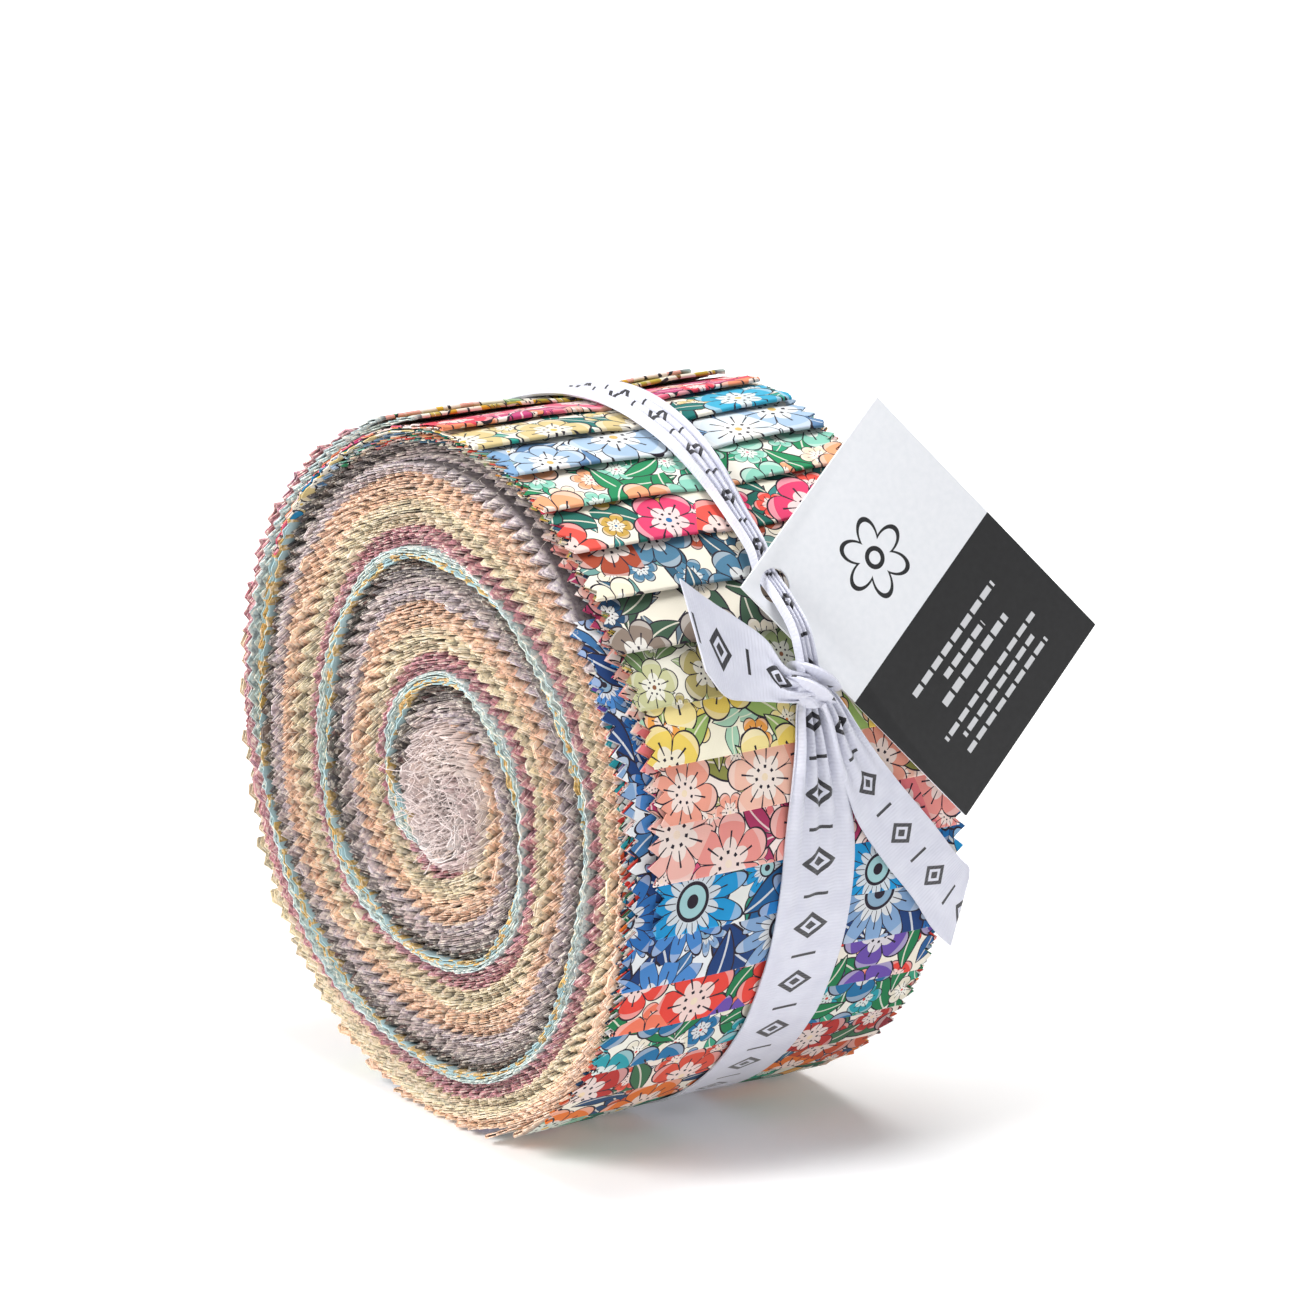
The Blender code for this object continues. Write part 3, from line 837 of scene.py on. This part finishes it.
# %% Ribbon finish
def satin():
    material, sums, shader = new_material("ribbed satin")
    flat = sums.node("ShaderNodeUVMap", uv_map="cloth").outputs[0]
    along, across, _ = sums.split(flat)
    rib = sums.node("ShaderNodeTexWave", bands_direction="X")
    sums.feed(rib.inputs["Vector"], flat)
    rib.inputs["Scale"].default_value = 520.0
    rib.inputs["Distortion"].default_value = 0.4
    base = sums.mix(sums.noise(flat, 260.0), linear("C4C5D4"), linear("D9DAE5"))
    base = sums.mix(sums.times(rib.outputs["Fac"], 0.10), base, linear("B9BBCB"))
    beat = sums.less(sums.sum("FRACT", sums.over(along, 0.0115)), 0.5)
    near = sums.over(sums.size(beat), 0.22)
    high = sums.over(sums.size(across), 0.0034)
    lozenge = sums.plus(near, high)
    mark = sums.times(sums.below(lozenge, 1.0), sums.above(lozenge, 0.62))
    heart = sums.below(lozenge, 0.34)
    bar = sums.times(sums.above(sums.size(beat), 0.475), sums.below(high, 0.7))
    inked = sums.most(sums.most(mark, heart), bar)
    sums.feed(shader.inputs["Base Color"], sums.mix(inked, base, linear("26252B")))
    set_bump(sums, shader, rib.outputs["Fac"], 0.5, 0.00007)
    shader.inputs["Roughness"].default_value = 0.42
    shader.inputs["Sheen Weight"].default_value = 0.25
    return material

# %% [markdown]
# A length of ribbon is given by stations along its path. A smooth curve joins them, and a grid is laid along
# the curve with its pleats.

# %% Ribbon lengths
SATIN = satin()
print("satin nodes", len(SATIN.node_tree.nodes))
RIBBON_WIDTH = 0.0145
RIBBON_THICK = 0.00028


def polar(degrees, radius, along):
    turn = math.radians(degrees)
    return Vector((radius * math.cos(turn), along, AXIS.z + radius * math.sin(turn)))


def spread_along(points, count):
    """Even places on a smooth curve through the points (Catmull-Rom)."""
    points = np.array(points, float)
    padded = np.concatenate([2 * points[:1] - points[1:2], points, 2 * points[-1:] - points[-2:-1]])
    fine = []
    for index in range(len(points) - 1):
        a, b, c, d = padded[index:index + 4]
        for share in np.linspace(0, 1, 24, endpoint=False):
            fine.append(0.5 * (2 * b + (c - a) * share + (2 * a - 5 * b + 4 * c - d) * share ** 2
                               + (3 * b - a - 3 * c + d) * share ** 3))
    fine.append(points[-1])
    fine = np.array(fine)
    steps = np.linalg.norm(np.diff(fine[:, :3], axis=0), axis=1)
    run = np.concatenate([[0.0], np.cumsum(steps)])
    even = np.linspace(0.0, run[-1], count)
    return np.stack([np.interp(even, run, fine[:, part]) for part in range(fine.shape[1])], 1), run[-1]


def spread_stations(stations, count):
    """Stations as even rows: middles, directions across, drawn widths, and the length they run."""
    path, length = spread_along([[*point, *way, width] for point, way, width in stations], count)
    return path[:, :3], path[:, 3:6], path[:, 6], length


def lay_ribbon(piece, places, along, across):
    """Gives a grid its place as ribbon: thickness and satin."""
    write_cloth(piece, places, along, across)
    finish_cloth(piece, RIBBON_THICK, 60.0)
    piece.data.materials.append(SATIN)


def ribbon_sheet(name, stations, count, pleats=3.0, phase=0.6, across_rows=25, start=0.0):
    """Stations: point, direction across, drawn width; the pleats take up what the width gives away."""
    centre, way, width, length = spread_stations(stations, count)
    tangent = unit(np.gradient(centre, axis=0))
    way = unit(way - tangent * (way * tangent).sum(1)[:, None])
    normal = np.cross(way, tangent)
    piece, column, row = lay_grid(name, count, across_rows)
    v = np.linspace(-1, 1, across_rows)[row]
    share = np.clip(width / RIBBON_WIDTH, 0.0, 1.0)
    gather = np.sqrt(np.maximum(1.0 - share ** 2, 0.0)) * RIBBON_WIDTH / (pleats * 4.2)
    wave = np.sin(math.pi * pleats * v + phase + column * 0.012) * gather[column]
    half = (width / 2)[column]
    curl = 0.00025 * v * v
    places = centre[column] + way[column] * (half * v)[:, None] + normal[column] * (wave - curl)[:, None]
    lay_ribbon(piece, places, start + column / (count - 1) * length, v * RIBBON_WIDTH / 2)
    return piece, length

# %% [markdown]
# ## The wrap, and the strand through the tag
# One length runs from below the knot down the front, under the roll, up the back and over the top. There it
# is drawn together, dips behind the card, comes up through the punched hole and runs over the card's edge
# to the knot.

# %% Wrap
CARD_OUT = Vector((math.cos(CARD_LEAN), 0.0, math.sin(CARD_LEAN)))
CARD_UP = Vector((-math.sin(CARD_LEAN), 0.0, math.cos(CARD_LEAN)))
strand_low, strand_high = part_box("ribbon_strand")
HOLE = (strand_low + strand_high) / 2
ALONG = Vector((0.0, 1.0, 0.0))


def by_hole(along, up, out):
    """A point beside the hole: along the roll, up the card's plane, and out of it."""
    return HOLE + ALONG * along + CARD_UP * up + CARD_OUT * out


def on_roll(turn, width, along=0.0):
    """A station on the roll, lifted so that its pleats clear the cloth, and flat where the roll rests."""
    lift = 0.95 * math.sqrt(max(1.0 - (width / RIBBON_WIDTH) ** 2, 0.0)) * RIBBON_WIDTH / (WRAP_PLEATS * 4.2)
    place = polar(turn, WRAP_RADIUS + lift, RIBBON_Y + along)
    x, z = settle(np.array(place.x), np.array(place.z - AXIS.z), 0.0002)
    return Vector((float(x), place.y, float(z) + AXIS.z)), ALONG, width


WRAP_PLEATS = 4.0


def wrap_stations():
    widths = ((19, 0.0050), (14, 0.0072), (8, 0.0102), (0, 0.0132), (-9, 0.0142), (-20, RIBBON_WIDTH))
    stations = [(polar(22.8, WRAP_RADIUS + 0.0017, RIBBON_Y), ALONG, 0.0034)]
    stations.append((polar(21.0, WRAP_RADIUS + 0.0013, RIBBON_Y), ALONG, 0.0040))
    stations += [on_roll(turn, width) for turn, width in widths]
    stations += [on_roll(turn, RIBBON_WIDTH) for turn in range(-32, -236, -6)]
    for turn, width, along in (
        (-240, 0.0143, 0.0), (-252, 0.0128, 0.0002), (-264, 0.0106, 0.0006), (-276, 0.0088, 0.0006),
        (-288, 0.0072, 0.0004), (-298, 0.0056, 0.0), (-307, 0.0040, -0.0004),
    ):
        stations.append(on_roll(turn, width, along))
    stations.append((by_hole(0.0006, 0.0068, -0.0038), ALONG, 0.0034))
    stations.append((by_hole(0.0, 0.0028, -0.0021), ALONG, 0.0030))
    stations.append((by_hole(0.0, -0.0020, 0.0015), ALONG, 0.0030))
    stations.append((by_hole(0.0004, -0.0072, 0.0040), ALONG, 0.0032))
    stations.append((by_hole(0.0013, -0.0118, 0.0032), ALONG, 0.0034))
    stations.append((by_hole(0.0019, -0.0155, 0.0018), ALONG, 0.0036))
    return stations


wrap, wrap_length = ribbon_sheet("ribbon_band", wrap_stations(), 640, pleats=WRAP_PLEATS)
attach(wrap, "ribbon")
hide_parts("ribbon_wrap", "ribbon_neck", "ribbon_lead", "ribbon_strand")
print("ribbon wrap length", round(wrap_length, 4))

# %% [markdown]
# ## The knot
# An overhand knot in a flat ribbon is a small pleated lump with one turn of ribbon drawn tight across it.
# The lump is a sphere squeezed and grooved along the pull, and the turn is a short gathered band that goes
# round it.

# %% Knot
knot_low, knot_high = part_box("ribbon_knot")
KNOT = (knot_low + knot_high) / 2


def make_knot():
    bpy.ops.object.select_all(action="DESELECT")
    bpy.ops.mesh.primitive_uv_sphere_add(segments=72, ring_count=48, radius=1.0)
    lump = bpy.context.object
    lump.name = "ribbon_knot_lump"
    co = vert_places(lump)
    turn = np.arctan2(co[:, 1], co[:, 0])
    groove = 1.0 + 0.10 * np.sin(7 * turn + 3.0 * co[:, 2]) * (1 - co[:, 2] ** 2)
    groove = groove + 0.05 * np.sin(3 * turn + 1.0)
    local = np.stack([co[:, 0] * 0.0036, co[:, 1] * 0.0022, co[:, 2] * 0.0032], 1) * groove[:, None]
    lay = Vector((0.0, 0.80, -0.60))
    first = (ALONG * lay.y + CARD_UP * lay.z).normalized()
    third = CARD_OUT.cross(first)
    frame_rows = np.array([first, CARD_OUT, third])
    places = local @ frame_rows + np.array(KNOT)
    lump.data.vertices.foreach_set("co", places.astype(np.float32).ravel())
    layer = lump.data.uv_layers[0]
    layer.name = "cloth"
    cloth = np.stack([local[:, 2] * 1.4 + 0.0055, local[:, 0] * 1.4 + 0.02], 1)[corner_verts(lump)]
    layer.data.foreach_set("uv", cloth.astype(np.float32).ravel())
    lump.data.shade_smooth()
    lump.data.materials.append(SATIN)
    pick_out(lump)
    bpy.ops.object.mode_set(mode="EDIT")
    bpy.ops.mesh.select_all(action="SELECT")
    bpy.ops.mesh.normals_make_consistent(inside=False)
    bpy.ops.object.mode_set(mode="OBJECT")
    stations = []
    for turn in np.linspace(-2.3, 2.3, 13):
        out = CARD_OUT * (0.0026 * math.cos(turn)) + first * (0.0030 * math.sin(turn))
        stations.append((KNOT + out + third * 0.0003, third, 0.0050))
    turn_piece, length = ribbon_sheet(
        "ribbon_knot_turn", stations, 60, pleats=2.0, phase=0.2, across_rows=17, start=0.0085
    )
    return lump, turn_piece, length


knot_lump, knot_turn, knot_length = make_knot()
for piece in (knot_lump, knot_turn):
    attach(piece, "ribbon")
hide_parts("ribbon_knot")
print("ribbon in the turn of the knot", round(knot_length, 4))

# %% [markdown]
# ## The two tails
# Each tail leaves the knot in pleats and opens flat. The left one springs up off the roll and curls, and
# the right one lies down the side and ends just past the roll's far edge. Both are cut on the slant.

# %% Tails
def tail_sheet(name, pairs, count, pleats, start):
    """Pairs of edge points give the middle, the direction across and the width at each station."""
    stations = []
    for first, second in pairs:
        middle = (first + second) / 2
        stations.append((middle, (second - first).normalized(), (second - first).length))
    centre, way, width, length = spread_stations(stations, count)
    way = unit(way)
    normal = unit(np.cross(way, unit(np.gradient(centre, axis=0))))
    across_rows = 25
    piece, column, row = lay_grid(name, count, across_rows)
    v = np.linspace(-1, 1, across_rows)[row]
    share = np.clip(width / RIBBON_WIDTH, 0.0, 1.0)
    fade = smooth(0.45, 0.0, np.linspace(0, 1, count))
    gather = np.sqrt(np.maximum(1.0 - share ** 2, 0.0)) * RIBBON_WIDTH / (pleats * 4.2) * fade
    wave = np.sin(math.pi * pleats * v + 0.4) * gather[column]
    half = (width / 2)[column]
    places = centre[column] + way[column] * (half * v)[:, None] + normal[column] * wave[:, None]
    lay_ribbon(piece, places, start + column / (count - 1) * length, v * RIBBON_WIDTH / 2)
    return piece, length


def at(along, degrees, high):
    return polar(degrees, WRAP_RADIUS + high, along)


left_pairs = [
    (at(0.0030, 20.4, 0.0030), at(0.0030, 24.4, 0.0032)),
    (at(-0.0008, 20.8, 0.0026), at(-0.0004, 26.0, 0.0028)),
    (at(-0.0038, 21.4, 0.0018), at(-0.0026, 30.6, 0.0026)),
    (at(-0.0078, 22.2, 0.0012), at(-0.0066, 34.2, 0.0030)),
    (at(-0.0120, 23.4, 0.0018), at(-0.0112, 37.2, 0.0042)),
    (at(-0.0156, 27.4, 0.0034), at(-0.0164, 40.8, 0.0060)),
]
right_pairs = [
    (at(0.0042, 19.6, 0.0030), at(0.0062, 22.2, 0.0030)),
    (at(0.0056, 16.4, 0.0022), at(0.0086, 19.6, 0.0024)),
    (at(0.0074, 9.4, 0.0013), at(0.0126, 13.8, 0.0015)),
    (at(0.0106, 1.0, 0.0009), at(0.0186, 6.0, 0.0011)),
    (at(0.0166, -7.0, 0.0009), at(0.0252, -1.4, 0.0010)),
    (at(0.0244, -15.6, 0.0009), at(0.0318, -8.8, 0.0010)),
    (at(0.0336, -25.2, 0.0012), at(0.0340, -12.2, 0.0012)),
]
for label, pairs, hinge_at, flat_at in (
    ("left", left_pairs, at(-0.0004, 23.2, 0.0027), at(-0.0050, 26.5, 0.0022)),
    ("right", right_pairs, at(0.0064, 18.8, 0.0024), at(0.0100, 11.5, 0.0014)),
):
    tail, tail_length = tail_sheet(f"ribbon_tail_{label}_cloth", pairs, 120, 3.0, 0.0)
    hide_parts(f"ribbon_tail_{label}")
    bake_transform(tail)
    print("tail", label, round(tail_length, 4))

# %% [markdown]
# ## The hang tag
# The tag is a stiff coated card. Its upper half is left pale and its lower half is printed black, with a
# simple flower and rows of small bars in place of any words. It is a thin slab with softened edges and a
# round hole.

# %% Card print
TAG_WIDTH, TAG_LENGTH, TAG_THICK = 0.042, 0.0545, 0.0005
HOLE_RADIUS, HOLE_MARGIN = 0.0028, 0.0045
TAG_TURN = math.radians(38.8)


def card_finish():
    material, sums, shader = new_material("printed card")
    place = sums.node("ShaderNodeAttribute", attribute_name="card_place").outputs["Vector"]
    x, y, z = sums.split(place)
    grain = sums.noise(place, 900.0, "3D", detail=4.0)
    pale = sums.mix(grain, linear("DCDFE4"), linear("E9EAEE"))
    black = sums.mix(grain, linear("161617"), linear("252527"))
    front = sums.above(z, 0.0)
    lower = sums.below(y, -TAG_LENGTH / 2 + HOLE_MARGIN)
    color = sums.mix(sums.times(lower, front), pale, black)
    middle = TAG_WIDTH / 2 - HOLE_MARGIN
    beside = sums.less(x, middle)
    bars = None
    for down, half, tall in (
        (0.0306, 0.0125, 0.00055), (0.0332, 0.0060, 0.00055), (0.0358, 0.0100, 0.00065),
        (0.0396, 0.0140, 0.00045), (0.0418, 0.0110, 0.00045), (0.0440, 0.0125, 0.00045),
    ):
        row = sums.below(sums.size(sums.plus(y, down)), tall)
        inside = sums.below(sums.size(beside), half)
        gap = sums.above(sums.sum("FRACT", sums.over(x, 0.0031)), 0.2)
        bar = sums.times(sums.times(row, inside), gap)
        bars = bar if bars is None else sums.most(bars, bar)
    color = sums.mix(sums.times(bars, front), color, linear("C9CACD"))
    rise = sums.plus(y, 0.0112)
    far = sums.sum("SQRT", sums.plus(sums.times(beside, beside), sums.times(rise, rise)))
    petal = sums.size(sums.cosine(sums.times(sums.sum("ARCTAN2", rise, beside), 3.0)))
    edge = sums.plus(0.0034, sums.times(petal, 0.0030))
    ring = sums.below(sums.size(sums.less(far, edge)), 0.00042)
    heart = sums.below(sums.size(sums.less(far, 0.0015)), 0.00040)
    emblem = sums.times(sums.most(ring, heart), front)
    color = sums.mix(emblem, color, linear("1D1D20"))
    sums.feed(shader.inputs["Base Color"], color)
    set_bump(sums, shader, grain, 0.12, 0.00005)
    shader.inputs["Roughness"].default_value = 0.5
    return material

# %% [markdown]
# The slab is modelled flat with its hole at the origin, so the print can be placed by the same coordinates,
# and then it is turned into place.

# %% Card
def make_card():
    bpy.ops.object.select_all(action="DESELECT")
    centre = (TAG_WIDTH / 2 - HOLE_MARGIN, HOLE_MARGIN - TAG_LENGTH / 2, 0.0)
    bpy.ops.mesh.primitive_cube_add(size=1.0, location=centre, scale=(TAG_WIDTH, TAG_LENGTH, TAG_THICK))
    card = bpy.context.object
    card.name = "hang_tag_card"
    bpy.ops.object.transform_apply(location=True, rotation=False, scale=True)
    bpy.ops.mesh.primitive_cylinder_add(vertices=96, radius=HOLE_RADIUS, depth=0.01, location=(0.0, 0.0, 0.0))
    punch = bpy.context.object
    cut = card.modifiers.new("hole", "BOOLEAN")
    cut.object = punch
    cut.operation = "DIFFERENCE"
    soften = card.modifiers.new("edges", "BEVEL")
    soften.width = 0.00008
    soften.segments = 2
    soften.limit_method = "ANGLE"
    pick_out(card)
    bpy.ops.object.modifier_apply(modifier=cut.name)
    bpy.ops.object.modifier_apply(modifier=soften.name)
    bpy.data.objects.remove(punch)
    bpy.ops.object.shade_smooth_by_angle(angle=math.radians(35.0))
    stored = card.data.attributes.new("card_place", "FLOAT_VECTOR", "POINT")
    stored.data.foreach_set("vector", vert_places(card).ravel())
    across = ALONG * math.cos(TAG_TURN) + CARD_UP * math.sin(TAG_TURN)
    up = CARD_OUT.cross(across)
    turn = Matrix((across, up, CARD_OUT)).transposed().to_4x4()
    card.data.transform(Matrix.Translation(HOLE) @ turn)
    card.data.materials.append(card_finish())
    return card


card = make_card()
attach(card, "tag")
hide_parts("hang_tag")
print("card has", len(card.data.polygons), "faces")

# %% Update the scene
bpy.context.view_layer.update()
